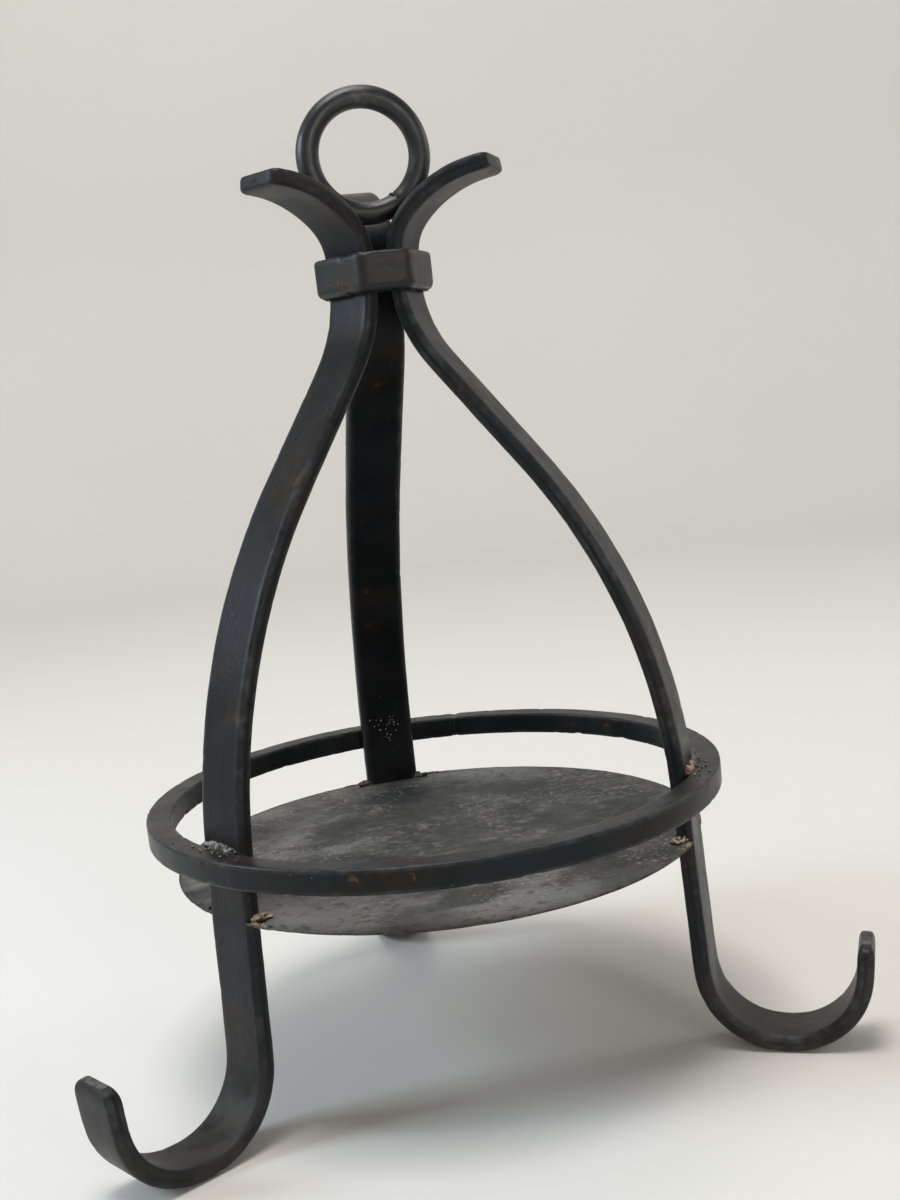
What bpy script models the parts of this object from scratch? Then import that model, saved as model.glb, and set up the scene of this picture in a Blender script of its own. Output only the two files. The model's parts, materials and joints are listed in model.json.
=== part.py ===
"""Hand-forged wrought-iron tripod stand, in metres, +Z up, standing on z = 0.

Three equal flat bars are the legs.  Each one flares outward as a petal at its top, runs down
through a band that binds the three, bows outward and ends in an upturned hooked foot.  A
square-bar hoop is welded round the outside of the legs, a thin round plate is let into them
below it, and a round-bar ring stands in the cup that the petals make.  Every weld bead is a
small body of its own.  The rear leg points along +Y, and the origin is the middle of the
footprint.
"""
from math import cos, hypot, pi, radians, sin, sqrt

import bmesh
import bpy
from mathutils import Vector

# Stock that the stand is forged from
BAR_WIDTH = 0.025
BAR_THICK = 0.007
BAR_EDGE = 0.0011             # radius of the bar's worn edges
HOOP_BAR = 0.010
HOOP_EDGE = 0.0009
PLATE_THICK = 0.002
BAND_THICK = 0.004
BAND_HEIGHT = 0.016
BAND_EDGE = 0.0011            # worn upper edge of the band
BAND_HEEL = 0.0030            # taller rounding of its lower edge
RING_BAR = 0.0095
GAP = 0.0003                  # clearance between pieces that touch

# Where the pieces stand
HOOP_RADIUS = 0.120           # outside of the hoop
HOOP_TOP = 0.115
PLATE_RADIUS = 0.110
PLATE_TOP = 0.0885
PLATE_FLAT = 0.1022           # radius of the flat middle; the rim beyond it is hammered down
RIM_DROP = 0.0004
BAND_BOTTOM = 0.315
BAND_TOP = BAND_BOTTOM + BAND_HEIGHT
LEG_AZIMUTHS = {"rear": 90.0, "left": 210.0, "right": 330.0}

# Course of a leg's outward face.  Lean is the angle off straight down, positive outward.
NECK_REACH = 0.0159           # outward face inside the band
NECK_TOP = BAND_TOP - 0.001
NECK_BOTTOM = 0.320
PETAL_CURL = 0.017            # tight bend just above the band
PETAL_SWEEP = 0.048           # slower bend towards the petal's tip
PETAL_BREAK = radians(-45)
PETAL_LEAN = radians(-85)
PETAL_TIP = 0.0045
FLARE_RADIUS = 0.050
SLOPE_LEAN = radians(37.5)
SHIN_LEAN = radians(2)
SHIN_REACH = 0.1087           # outward face at half the hoop's height
FOOT_RADIUS = 0.0267          # hollow of the hooked foot
SOLE_FLAT = 0.003             # worn flat that a foot stands on
FOOT_LEAN = radians(175.4)
FOOT_TIP = 0.017
TIP_ROUND = 0.0032            # radius that rounds off the corners of a bar's ends
TIP_TURN = radians(28)        # turn between the stations of that rounding
PETAL_NOSE = 0.5              # share of that rounding that also thins a petal's end
FOOT_NOSE = 1.5               # a foot's end thins out to a bull nose
FOOT_REACH = 0.1758           # outermost point of a foot

# Carrying ring
RING_RADIUS = 0.0224          # to the middle of its bar
RING_FORWARD = 0.0040         # its plane stands this far in front of the legs' axis

# Weld beads
BEAD = 0.0032
HOOP_BEAD_LENGTH = 0.020
PLATE_BEAD_LENGTH = 0.0052
BEAD_SAG = 0.137              # how much the bead's face is flatter than a quarter circle
BEAD_END = 0.86               # how much its section thins out towards its ends
BEAD_STEPS = 8
PEBBLE = 0.0016               # half-thickness of a lump of weld metal
PEBBLE_STRETCH = 1.5
PEBBLE_CUT = 0.97             # share of a lump's half-length at which its tiny flat ends lie
PROUD = 0.0007                # how far a closing weld stands up
HOOP_JOINT_AZIMUTH = 72.0
HOOP_JOINT_SIZE = (0.0046, 0.0014)
RING_JOINT_ANGLE = radians(30)
RING_JOINT_SIZE = (0.0026, 0.0016)

IRON = (0.030, 0.032, 0.036, 1.0)
IRON_WORN = (0.075, 0.072, 0.068, 1.0)
WELD_RUST = (0.150, 0.095, 0.060, 1.0)

# The hoop is the foremost piece and the rear foot the rearmost, so this centres the footprint
AXIS_Y = (HOOP_RADIUS - FOOT_REACH) / 2


def clear_scene():
    for old in list(bpy.data.objects):
        bpy.data.objects.remove(old, do_unlink=True)


def iron_material(name, colour, roughness, metallic):
    material = bpy.data.materials.new(name)
    material.use_nodes = True
    shader = material.node_tree.nodes["Principled BSDF"]
    shader.inputs["Base Color"].default_value = colour
    shader.inputs["Roughness"].default_value = roughness
    shader.inputs["Metallic"].default_value = metallic
    material.diffuse_color = colour
    return material


def finish_object(name, work, material, turn=0.0):
    """Make a smooth-shaded object from a bmesh, standing on the legs' axis."""
    bmesh.ops.recalc_face_normals(work, faces=work.faces)
    mesh = bpy.data.meshes.new(name)
    work.to_mesh(mesh)
    work.free()
    mesh.shade_smooth()
    mesh.set_sharp_from_angle(angle=radians(35))
    mesh.materials.append(material)
    item = bpy.data.objects.new(name, mesh)
    bpy.context.collection.objects.link(item)
    item.location = (0.0, AXIS_Y, 0.0)
    item.rotation_euler = (0.0, 0.0, turn)
    return item


def skin_loops(loops, closed=False):
    """Join equal point loops into one closed skin; an open run gets flat ends."""
    work = bmesh.new()
    rings = [[work.verts.new(point) for point in loop] for loop in loops]
    count = len(rings[0])
    pairs = list(zip(rings, rings[1:]))
    if closed:
        pairs.append((rings[-1], rings[0]))
    for low, high in pairs:
        for k in range(count):
            after = (k + 1) % count
            work.faces.new((low[k], low[after], high[after], high[k]))
    if not closed:
        work.faces.new(list(reversed(rings[0])))
        work.faces.new(rings[-1])
    return work


def bar_section(width, depth, edge, steps=2):
    """Outline of a bar's section, centred, with rounded edges."""
    outline = []
    for quarter, (side_u, side_v) in enumerate(((1, 1), (-1, 1), (-1, -1), (1, -1))):
        for k in range(steps + 1):
            angle = (quarter + k / steps) * pi / 2
            outline.append((side_u * (width / 2 - edge) + edge * cos(angle),
                            side_v * (depth / 2 - edge) + edge * sin(angle)))
    return outline


# ---- the legs -----------------------------------------------------------------------------

def heading(lean):
    return sin(lean), -cos(lean)


def inward(lean):
    """Direction from a leg's outward face into the bar."""
    return -cos(lean), -sin(lean)


def bend(course, radius, new_lean, steps):
    """Carry the course round a bend; a positive radius has its centre outside the bar."""
    point, lean = course[-1]
    was = inward(lean)
    for k in range(1, steps + 1):
        at = lean + (new_lean - lean) * k / steps
        now = inward(at)
        course.append(((point[0] + radius * (now[0] - was[0]),
                        point[1] + radius * (now[1] - was[1])), at))


def straight(course, length, steps=1):
    """Carry the course straight on; a negative length goes back up it."""
    point, lean = course[-1]
    ahead = heading(lean)
    for k in range(1, steps + 1):
        run = length * k / steps
        course.append(((point[0] + ahead[0] * run, point[1] + ahead[1] * run), lean))


def bow_sizes(start):
    """Length of the slope and radius of the shoulder that bring the leg down to the hoop."""
    slope = heading(SLOPE_LEAN)
    was, now = inward(SLOPE_LEAN), inward(SHIN_LEAN)
    turn = was[0] - now[0], was[1] - now[1]
    span = SHIN_REACH - start[0], HOOP_TOP - HOOP_BAR / 2 - start[1]
    cross = slope[0] * turn[1] - slope[1] * turn[0]
    length = (span[0] * turn[1] - span[1] * turn[0]) / cross
    radius = (slope[0] * span[1] - slope[1] * span[0]) / cross
    return length, radius


def leg_course():
    """Outward face of a leg as ((reach, height), lean), from the petal's tip to the foot's."""
    petal = [((NECK_REACH, NECK_TOP), 0.0)]
    bend(petal, PETAL_CURL, PETAL_BREAK, 7)
    bend(petal, PETAL_SWEEP, PETAL_LEAN, 8)
    straight(petal, -PETAL_TIP)
    course = list(reversed(petal))
    straight(course, NECK_TOP - NECK_BOTTOM)
    bend(course, FLARE_RADIUS, SLOPE_LEAN, 7)
    length, radius = bow_sizes(course[-1][0])
    straight(course, length, 2)
    bend(course, -radius, SHIN_LEAN, 14)
    foot_start = BAR_THICK + FOOT_RADIUS - FOOT_RADIUS * sin(SHIN_LEAN)
    straight(course, (course[-1][0][1] - foot_start) / cos(SHIN_LEAN), 3)
    bend(course, FOOT_RADIUS, pi / 2, 12)
    straight(course, SOLE_FLAT)
    bend(course, FOOT_RADIUS, FOOT_LEAN, 12)
    straight(course, FOOT_TIP)
    return course


def rounded_end(end, before, lean, nose):
    """Stations that round off a bar's end, as (point, lean, narrowing, thinning)."""
    length = hypot(end[0] - before[0], end[1] - before[1])
    ahead = (end[0] - before[0]) / length, (end[1] - before[1]) / length
    stations = []
    for k in range(4):
        angle = TIP_TURN * k
        back = TIP_ROUND * (1 - sin(angle))
        point = end[0] - ahead[0] * back, end[1] - ahead[1] * back
        lost = TIP_ROUND * (1 - cos(angle))
        stations.append((point, lean, 2 * lost, nose * lost))
    return stations


def make_leg(name, azimuth, course, material):
    """Sweep the flat bar's section along the course."""
    petal_end = rounded_end(course[0][0], course[1][0], course[0][1], PETAL_NOSE)
    foot_end = rounded_end(course[-1][0], course[-2][0], course[-1][1], FOOT_NOSE)
    middle = [(point, lean, 0.0, 0.0) for point, lean in course[1:-1]]
    stations = list(reversed(petal_end)) + middle + foot_end
    loops = []
    for (reach, height), lean, narrowing, thinning in stations:
        side = inward(lean)
        section = bar_section(BAR_WIDTH - narrowing, BAR_THICK - thinning, BAR_EDGE)
        loops.append([(reach + side[0] * (BAR_THICK / 2 + depth), across,
                       height + side[1] * (BAR_THICK / 2 + depth))
                      for across, depth in section])
    return finish_object(name, skin_loops(loops), material, radians(azimuth))


def leg_reach(course, height):
    """Reach of the outward face at a height between the band and the foot."""
    shin = [point for point, lean in course if 0.0 <= lean < radians(60)]
    for upper, lower in zip(shin, shin[1:]):
        if upper[1] >= height >= lower[1]:
            share = (upper[1] - height) / (upper[1] - lower[1])
            return upper[0] + (lower[0] - upper[0]) * share
    return shin[-1][0]


def leg_axes(azimuth):
    """Outward and sideways directions of the leg at an azimuth in degrees."""
    outward = Vector((cos(radians(azimuth)), sin(radians(azimuth)), 0.0))
    return outward, Vector((-outward.y, outward.x, 0.0))


# ---- hoop, plate, band and ring -----------------------------------------------------------

def circle(reach, height, segments):
    return [(reach * cos(2 * pi * k / segments), reach * sin(2 * pi * k / segments), height)
            for k in range(segments)]


def make_hoop(material):
    centre = HOOP_RADIUS - HOOP_BAR / 2, HOOP_TOP - HOOP_BAR / 2
    section = bar_section(HOOP_BAR, HOOP_BAR, HOOP_EDGE)
    columns = [circle(centre[0] + u, centre[1] + v, 96) for u, v in section]
    return finish_object("hoop", skin_loops(columns, closed=True), material)


def make_plate(course, material):
    """Round plate with a notch for each leg; its rim slopes down a little past the flat."""
    underside = PLATE_TOP - PLATE_THICK
    levels = ((PLATE_RADIUS, underside), (PLATE_RADIUS, PLATE_TOP - RIM_DROP),
              (PLATE_FLAT, PLATE_TOP))
    loops = [circle(reach, height, 120) for reach, height in levels]
    plate = finish_object("plate", skin_loops(loops), material)
    notch_reach = leg_reach(course, PLATE_TOP) - BAR_THICK - GAP
    half = BAR_WIDTH / 2 + GAP
    over = 0.01
    for place, azimuth in LEG_AZIMUTHS.items():
        box = bmesh.new()
        bmesh.ops.create_cube(box, size=1.0)
        for vert in box.verts:
            vert.co.x = PLATE_RADIUS + over if vert.co.x > 0 else notch_reach
            vert.co.y = half if vert.co.y > 0 else -half
            vert.co.z = PLATE_TOP + over if vert.co.z > 0 else underside - over
        cutter = finish_object("notch_" + place, box, material, radians(azimuth))
        cutter.hide_render = True
        cutter.display_type = "WIRE"
        cut = plate.modifiers.new("notch_" + place, "BOOLEAN")
        cut.operation = "DIFFERENCE"
        cut.object = cutter
    return plate


def make_band(course, material):
    """Flat strip bent round the necks of the three legs, with its lower edge worn round."""
    heel_start = BAND_THICK - 0.7 * BAND_HEEL
    heel_middle = BAND_THICK - BAND_HEEL / 4, BAND_BOTTOM + BAND_HEEL / 3
    profile = ((0.0, BAND_TOP), (0.0, BAND_BOTTOM), (heel_start, BAND_BOTTOM), heel_middle,
               (BAND_THICK, BAND_BOTTOM + BAND_HEEL), (BAND_THICK, BAND_TOP - BAND_EDGE),
               (BAND_THICK - BAND_EDGE, BAND_TOP))
    corner_reach = leg_reach(course, BAND_BOTTOM) - BAR_EDGE
    corner_side = BAR_WIDTH / 2 - BAR_EDGE
    bend_radius = BAR_EDGE + GAP
    loops = []
    for azimuth in sorted(LEG_AZIMUTHS.values()):
        outward, sideways = leg_axes(azimuth)
        for side in (-1, 1):
            corner = outward * corner_reach + sideways * side * corner_side
            for k in range(5):
                share = (k if side > 0 else 4 - k) / 4
                away = leg_axes(azimuth + side * 60 * share)[0]
                loops.append([corner + away * (bend_radius + out) + Vector((0, 0, height))
                              for out, height in profile])
    return finish_object("band", skin_loops(loops, closed=True), material)


def ring_point(angle, centre_height):
    """Middle of the ring's bar, at an angle from its lowest point."""
    return Vector((RING_RADIUS * sin(angle), -RING_FORWARD,
                   centre_height - RING_RADIUS * cos(angle)))


def petal_inner_line(course):
    """Inner face of a petal and neck, as (reach, height) points."""
    line = []
    for (reach, height), lean in course:
        if height > BAND_BOTTOM + GAP:
            side = inward(lean)
            line.append((reach + side[0] * BAR_THICK, height + side[1] * BAR_THICK))
    return line


def nearest_on_line(reach, height, line):
    """Distance from a point to a line of points, and the nearest place on it."""
    best = (1.0, reach, height)
    for (r0, z0), (r1, z1) in zip(line, line[1:]):
        run, rise = r1 - r0, z1 - z0
        share = ((reach - r0) * run + (height - z0) * rise) / (run * run + rise * rise)
        share = min(1.0, max(0.0, share))
        near = r0 + share * run, z0 + share * rise
        best = min(best, (hypot(reach - near[0], height - near[1]), *near))
    return best


def ring_clearances(centre_height, line):
    """Clearance from the ring's lower right quarter to the petal there, degree by degree."""
    outward = leg_axes(LEG_AZIMUTHS["right"])[0]
    for degree in range(1, 90):
        point = ring_point(radians(degree), centre_height)
        gap = nearest_on_line(point.dot(outward), point.z, line)[0] - RING_BAR / 2
        yield gap, radians(degree)


def seat_ring(line):
    """Height of the ring's centre when it rests in the cup of the petals."""
    low, high = BAND_TOP, BAND_TOP + 3 * RING_RADIUS
    while high - low > 1e-9:
        middle = (low + high) / 2
        if min(ring_clearances(middle, line))[0] < GAP:
            low = middle
        else:
            high = middle
    return high


def make_ring(centre_height, material):
    loops = []
    for k in range(72):
        angle = 2 * pi * k / 72
        away = Vector((sin(angle), 0.0, -cos(angle)))
        middle = ring_point(angle, centre_height)
        loops.append([middle + away * (RING_BAR / 2 * cos(turn))
                      + Vector((0.0, RING_BAR / 2 * sin(turn), 0.0))
                      for turn in (2 * pi * j / 14 for j in range(14))])
    return finish_object("top_ring", skin_loops(loops, closed=True), material)


# ---- weld beads ---------------------------------------------------------------------------

def corner_bead(name, corner, along, out, up, length, material):
    """Bead that fills the corner between two faces, thinning out at its ends."""
    loops = []
    for k in range(BEAD_STEPS + 1):
        share = 2 * k / BEAD_STEPS - 1
        size = BEAD * sqrt(1 - BEAD_END * share ** 4)
        start = corner + along * (length / 2 * share)
        loop = [start]
        for angle in (pi / 8 * j for j in range(5)):
            reach = size * (1 - BEAD_SAG * sin(2 * angle) ** 2)
            loop.append(start + out * (reach * cos(angle)) + up * (reach * sin(angle)))
        loops.append(loop)
    return finish_object(name, skin_loops(loops), material)


def pebble(name, centre, long_half, wide_half, high_half, material):
    """Small rounded lump of weld metal; its three half-axes are vectors."""
    loops = []
    for k in range(BEAD_STEPS + 1):
        share = PEBBLE_CUT * (2 * k / BEAD_STEPS - 1)
        size = sqrt(1 - share * share)
        loops.append([centre + long_half * share + wide_half * (size * cos(turn))
                      + high_half * (size * sin(turn))
                      for turn in (2 * pi * j / 10 for j in range(10))])
    return finish_object(name, skin_loops(loops), material)


def make_hoop_beads(course, material):
    """A bead above and a bead below the hoop, where its inside meets each leg."""
    up = Vector((0.0, 0.0, 1.0))
    for place, azimuth in LEG_AZIMUTHS.items():
        outward, sideways = leg_axes(azimuth)
        for level, height, rise in (("top", HOOP_TOP + GAP, up),
                                    ("under", HOOP_TOP - HOOP_BAR - GAP, -up)):
            reach = leg_reach(course, height - BEAD) + GAP
            corner = outward * reach + up * height
            corner_bead("weld_hoop_%s_%s" % (level, place), corner, sideways, outward, rise,
                        HOOP_BEAD_LENGTH, material)


def make_plate_beads(course, material):
    """A short bead on the plate's rim at each side of each leg."""
    up = Vector((0.0, 0.0, 1.0))
    inner = leg_reach(course, PLATE_TOP) - BAR_THICK
    middle = inner + GAP + PLATE_BEAD_LENGTH / 2
    for place, azimuth in LEG_AZIMUTHS.items():
        outward, sideways = leg_axes(azimuth)
        for label, side in (("a", 1), ("b", -1)):
            corner = outward * middle + sideways * side * (BAR_WIDTH / 2 + GAP)
            corner_bead("weld_plate_%s_%s" % (place, label), corner + up * (PLATE_TOP + GAP),
                        outward, sideways * side, up, PLATE_BEAD_LENGTH, material)


def ring_bead_spot(outward, side, angle, centre_height, line):
    """Place for a lump that lies on a petal's inner face below one point of the ring."""
    point = ring_point(side * angle, centre_height)
    _, reach, height = nearest_on_line(point.dot(outward), point.z, line)
    towards = outward * (reach - point.dot(outward))
    towards.z += height - point.z
    depth = towards.length
    towards.normalize()
    return point + towards * (depth - PEBBLE - GAP), towards


def make_ring_beads(centre_height, line, material):
    """A lump in the crevice above each place where the ring rests on a petal."""
    room = RING_BAR / 2 + GAP + (1 + PEBBLE_STRETCH) / 2 * PEBBLE
    contact = min(ring_clearances(centre_height, line))[1]
    for place, side in (("left", -1), ("right", 1)):
        outward, sideways = leg_axes(LEG_AZIMUTHS[place])
        angle = contact
        spot, towards = ring_bead_spot(outward, side, angle, centre_height, line)
        while min((ring_point(side * radians(k), centre_height) - spot).length
                  for k in range(90)) < room:
            angle += radians(0.5)
            spot, towards = ring_bead_spot(outward, side, angle, centre_height, line)
        pebble("weld_ring_" + place, spot, sideways * (PEBBLE_STRETCH * PEBBLE),
               towards * PEBBLE, towards.cross(sideways) * PEBBLE, material)


def make_joint_beads(centre_height, material):
    """The closing welds of the hoop and of the ring."""
    up = Vector((0.0, 0.0, 1.0))
    outward, sideways = leg_axes(HOOP_JOINT_AZIMUTH)
    reach = HOOP_RADIUS - HOOP_BAR - GAP - PROUD
    across, along = HOOP_JOINT_SIZE
    pebble("weld_hoop_joint", outward * reach + up * (HOOP_TOP - HOOP_BAR / 2), up * across,
           outward * PROUD, sideways * along, material)
    away = Vector((sin(RING_JOINT_ANGLE), 0.0, -cos(RING_JOINT_ANGLE)))
    ahead = Vector((away.z, 0.0, -away.x))
    spot = ring_point(RING_JOINT_ANGLE, centre_height) - away * (RING_BAR / 2 + GAP + PROUD)
    across, along = RING_JOINT_SIZE
    pebble("weld_ring_joint", spot, Vector((0.0, across, 0.0)), away * PROUD,
           ahead * along, material)


def build():
    clear_scene()
    course = leg_course()
    for place, azimuth in LEG_AZIMUTHS.items():
        make_leg("leg_" + place, azimuth, course, iron_material("leg_" + place, IRON, 0.45, 0.6))
    make_hoop(iron_material("hoop", IRON, 0.5, 0.6))
    make_plate(course, iron_material("plate", IRON_WORN, 0.65, 0.5))
    make_band(course, iron_material("band", IRON, 0.5, 0.6))
    line = petal_inner_line(course)
    centre_height = seat_ring(line)
    make_ring(centre_height, iron_material("top_ring", IRON, 0.4, 0.6))
    weld = iron_material("weld", WELD_RUST, 0.7, 0.4)
    make_hoop_beads(course, weld)
    make_plate_beads(course, weld)
    make_ring_beads(centre_height, line, weld)
    make_joint_beads(centre_height, weld)


build()
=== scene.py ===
"""Looks of the wrought-iron tripod stand: forged bars, sheet plate, weld beads, worn black finish.

Every CAD node is replaced by a finer mesh that is worked out from the node itself: the legs from
a slice through their middle plane, the band from a level slice, the rest from their boxes.
"""
import json
import random
from math import cos, pi, radians, sin, sqrt

import bmesh
import bpy
import numpy as np
from mathutils import Matrix, Vector, noise


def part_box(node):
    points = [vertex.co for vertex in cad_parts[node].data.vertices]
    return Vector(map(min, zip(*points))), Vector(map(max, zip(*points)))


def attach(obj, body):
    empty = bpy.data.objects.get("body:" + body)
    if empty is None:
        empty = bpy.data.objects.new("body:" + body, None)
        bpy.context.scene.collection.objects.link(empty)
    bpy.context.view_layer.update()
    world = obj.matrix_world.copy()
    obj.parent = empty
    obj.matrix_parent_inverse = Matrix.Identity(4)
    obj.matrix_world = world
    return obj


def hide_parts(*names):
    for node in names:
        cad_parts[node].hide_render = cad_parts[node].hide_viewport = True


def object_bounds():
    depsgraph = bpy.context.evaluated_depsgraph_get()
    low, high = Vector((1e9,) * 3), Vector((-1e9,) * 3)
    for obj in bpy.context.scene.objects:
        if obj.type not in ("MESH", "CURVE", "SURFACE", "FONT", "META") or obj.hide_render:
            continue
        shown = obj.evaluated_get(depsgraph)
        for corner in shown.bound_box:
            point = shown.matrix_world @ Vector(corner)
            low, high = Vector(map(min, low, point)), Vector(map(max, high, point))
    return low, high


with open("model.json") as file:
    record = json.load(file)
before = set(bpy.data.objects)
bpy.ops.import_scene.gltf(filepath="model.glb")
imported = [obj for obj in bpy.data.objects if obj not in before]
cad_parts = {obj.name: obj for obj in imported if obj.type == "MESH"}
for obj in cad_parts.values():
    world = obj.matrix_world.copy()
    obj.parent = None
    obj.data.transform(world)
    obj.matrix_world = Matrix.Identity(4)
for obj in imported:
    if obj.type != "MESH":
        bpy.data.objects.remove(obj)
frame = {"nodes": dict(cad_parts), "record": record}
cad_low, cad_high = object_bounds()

UP = Vector((0.0, 0.0, 1.0))
STEP = 0.0012                 # spacing of the stations along a bar
BAR_EDGE = 0.0024             # radius of a leg's hammered edges
CORNER_STEPS = 6
WEAR_REACH = 0.0013           # how far from an edge its wear still shows
CONTACT = 0.0005              # closes the clearance that the CAD solids keep
PETAL_END = (0.0042, 0.30, 0.8)    # rounding, thinning and wear of a petal's end
FOOT_END = (0.0062, 0.58, 1.3)     # the same for a foot's bull nose
FOOT_CUT = {"rear": 0.0015, "left": 0.0, "right": 0.0045}    # hooks cut by eye, not alike
CAP_SHARES = (0.8, 0.55, 0.3, 0.06)
CAP_STEP = 0.00006            # how far each ring of a bar's end cap stands before the last
HAMMER_BROAD, HAMMER_MARK, HAMMER_CHIP = 0.034, 0.011, 0.0042    # sizes of the hammer's traces
PLATE_SEGMENTS, PLATE_RINGS, UNDER_RINGS = 360, 66, 24
RIM_ROUND = 0.0008            # rounding of the plate's rim
RIM_WEAR = 0.0016             # how far in from the rim its wear shows
NOTCH_INSET = 0.0019          # how much narrower the plate's notch is than the bar, per side
HUB_DIP = 0.0002              # how far the plate's middle sinks in from both faces
BEAD_STEP = 0.0006
BEAD_SIDES, DROP_SIDES, DROP_LAYERS = 20, 10, 8


# ---- what the frame says ------------------------------------------------------------------

def box_middle(node):
    low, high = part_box(node)
    return (low + high) / 2


AXIS = Vector((box_middle("hoop").x, box_middle("hoop").y, 0.0))


def leg_directions():
    """Outward direction of each leg: from the legs' axis towards its sole."""
    found = {}
    for mount in frame["record"]["mounts"]:
        if mount["name"].startswith("sole_"):
            towards = Vector(mount["pos_m"]) - AXIS
            towards.z = 0.0
            found[mount["name"].removeprefix("sole_")] = towards.normalized()
    return found


LEGS = leg_directions()


def beside(outward):
    return UP.cross(outward)


def node_extent(node, direction):
    """Lowest and highest place of a CAD node along a direction."""
    places = [vert.co.dot(direction) for vert in frame["nodes"][node].data.vertices]
    return min(places), max(places)


def slice_loops(node, point, normal):
    """Where a plane cuts a CAD node, as closed loops of points in order."""
    work = bmesh.new()
    work.from_mesh(frame["nodes"][node].data)
    bmesh.ops.remove_doubles(work, verts=work.verts[:], dist=1e-6)
    bmesh.ops.bisect_plane(work, geom=work.verts[:] + work.edges[:] + work.faces[:],
                           plane_co=point, plane_no=normal, clear_inner=True, clear_outer=True)
    loops = []
    left = list(work.verts)
    while left:
        at = left[0]
        loop = []
        while at is not None:
            left.remove(at)
            loop.append(at.co.copy())
            ahead = [edge.other_vert(at) for edge in at.link_edges]
            at = next((vert for vert in ahead if vert in left), None)
        loops.append(loop)
    work.free()
    return loops


def resample(points, step, closed=False):
    """Points at an even step along a line of points."""
    points = np.array(points, float)
    if closed:
        points = np.vstack([points, points[:1]])
    gaps = np.linalg.norm(np.diff(points, axis=0), axis=1)
    lengths = np.concatenate([[0.0], np.cumsum(gaps)])
    at = np.linspace(0.0, lengths[-1], round(lengths[-1] / step) + 1)
    even = np.stack([np.interp(at, lengths, column) for column in points.T], axis=1)
    return even[:-1] if closed else even


def softened(points, reach, closed=False):
    """The same evenly spaced points with their corners rounded over about that many."""
    weights = np.exp(-0.5 * (np.arange(-3 * reach, 3 * reach + 1) / reach) ** 2)
    weights /= weights.sum()
    pad = 3 * reach
    if closed:
        padded = np.vstack([points[-pad:], points, points[:pad]])
    else:
        before = 2 * points[0] - points[pad:0:-1]
        after = 2 * points[-1] - points[-2:-pad - 2:-1]
        padded = np.vstack([before, points, after])
    return np.stack([np.convolve(column, weights, "valid") for column in padded.T], axis=1)


def leg_faces(place):
    """A leg's inner and outer face as evenly spaced (reach, height) points, from the petal's
    tip to the foot's; the inner face turns into the petal's top and the foot's sole."""
    outward = LEGS[place]
    loop = slice_loops("leg_" + place, AXIS, beside(outward))[0]
    outline = np.array([((point - AXIS).dot(outward), point.z) for point in loop])
    count = len(outline)
    neck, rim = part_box("band")[1].z, (cad_high.x - cad_low.x) / 2 * 0.9
    petal = max(range(count), key=lambda k: outline[k][0] if outline[k][1] > neck else 0.0)
    foot = max(range(count), key=lambda k: outline[k][1] if outline[k][0] > rim else 0.0)
    ways = [[outline[(petal + way * k) % count] for k in range((way * (foot - petal)) % count + 1)]
            for way in (1, -1)]
    ways.sort(key=lambda way: min(point[1] for point in way))
    inner, outer = [resample(way, STEP) for way in ways]
    gaps = np.linalg.norm(inner[:, None] - outer[None], axis=2).min(axis=1)
    thick = float(np.median(gaps))
    full = np.flatnonzero(gaps > 0.96 * thick)
    line = inner[full[0] + 1:full[-1]]
    for _ in range(2):
        tail = line[-1] - line[-5]
        tail /= np.linalg.norm(tail)
        near = [point for point in outline if np.linalg.norm(point - line[-1]) < 4 * thick]
        beyond = max((point - line[-1]) @ tail for point in near)
        line = np.vstack([line, line[-1] + tail * beyond])[::-1]
    return resample(line, STEP), outer


def reach_at(line, height):
    """Reach of a leg's face at a height between the band and the foot."""
    descent = line[:int(np.argmin(line[:, 1])) + 1]
    return float(np.interp(-height, -descent[:, 1], descent[:, 0]))


BAR_WIDTH = float(np.ptp(node_extent("leg_rear", beside(LEGS["rear"]))))
INNER, OUTER = {}, {}
for leg in LEGS:
    INNER[leg], OUTER[leg] = leg_faces(leg)
BAR_THICK = float(OUTER["rear"][:, 1].min())
HOOP_LOW, HOOP_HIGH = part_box("hoop")
HOOP_RADIUS = (HOOP_HIGH.x - HOOP_LOW.x) / 2
HOOP_BAR = HOOP_HIGH.z - HOOP_LOW.z
PLATE_LOW, PLATE_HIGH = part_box("plate")
PLATE_RADIUS = (PLATE_HIGH.x - PLATE_LOW.x) / 2


# ---- mesh helpers -------------------------------------------------------------------------

def smooth_object(name, points, faces, material):
    """Smooth mesh object with its faces turned the same way."""
    mesh = bpy.data.meshes.new(name)
    mesh.from_pydata(points, [], faces)
    work = bmesh.new()
    work.from_mesh(mesh)
    bmesh.ops.recalc_face_normals(work, faces=work.faces[:])
    work.to_mesh(mesh)
    work.free()
    mesh.shade_smooth()
    mesh.materials.append(material)
    made = bpy.data.objects.new(name, mesh)
    bpy.context.scene.collection.objects.link(made)
    return made


def make_piece(name, points, faces, material, nodes, wear, girth=None):
    """Closed mesh that stands for CAD nodes; wear and girth steer its material."""
    piece = smooth_object(name, points, faces, material)
    girth = girth or [0.0] * len(points)
    for label, values in (("wear", wear), ("girth", girth)):
        piece.data.attributes.new(label, "FLOAT", "POINT").data.foreach_set("value", values)
    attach(piece, "root")
    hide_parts(*nodes)
    return piece


def ring_faces(rings, count, first=0, closed=False):
    """Faces between rings of points that follow each other in the list of points."""
    faces = []
    for low in range(rings if closed else rings - 1):
        a, b = first + low * count, first + (low + 1) % rings * count
        for k in range(count):
            after = (k + 1) % count
            faces.append((a + k, a + after, b + after, b + k))
    return faces


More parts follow.
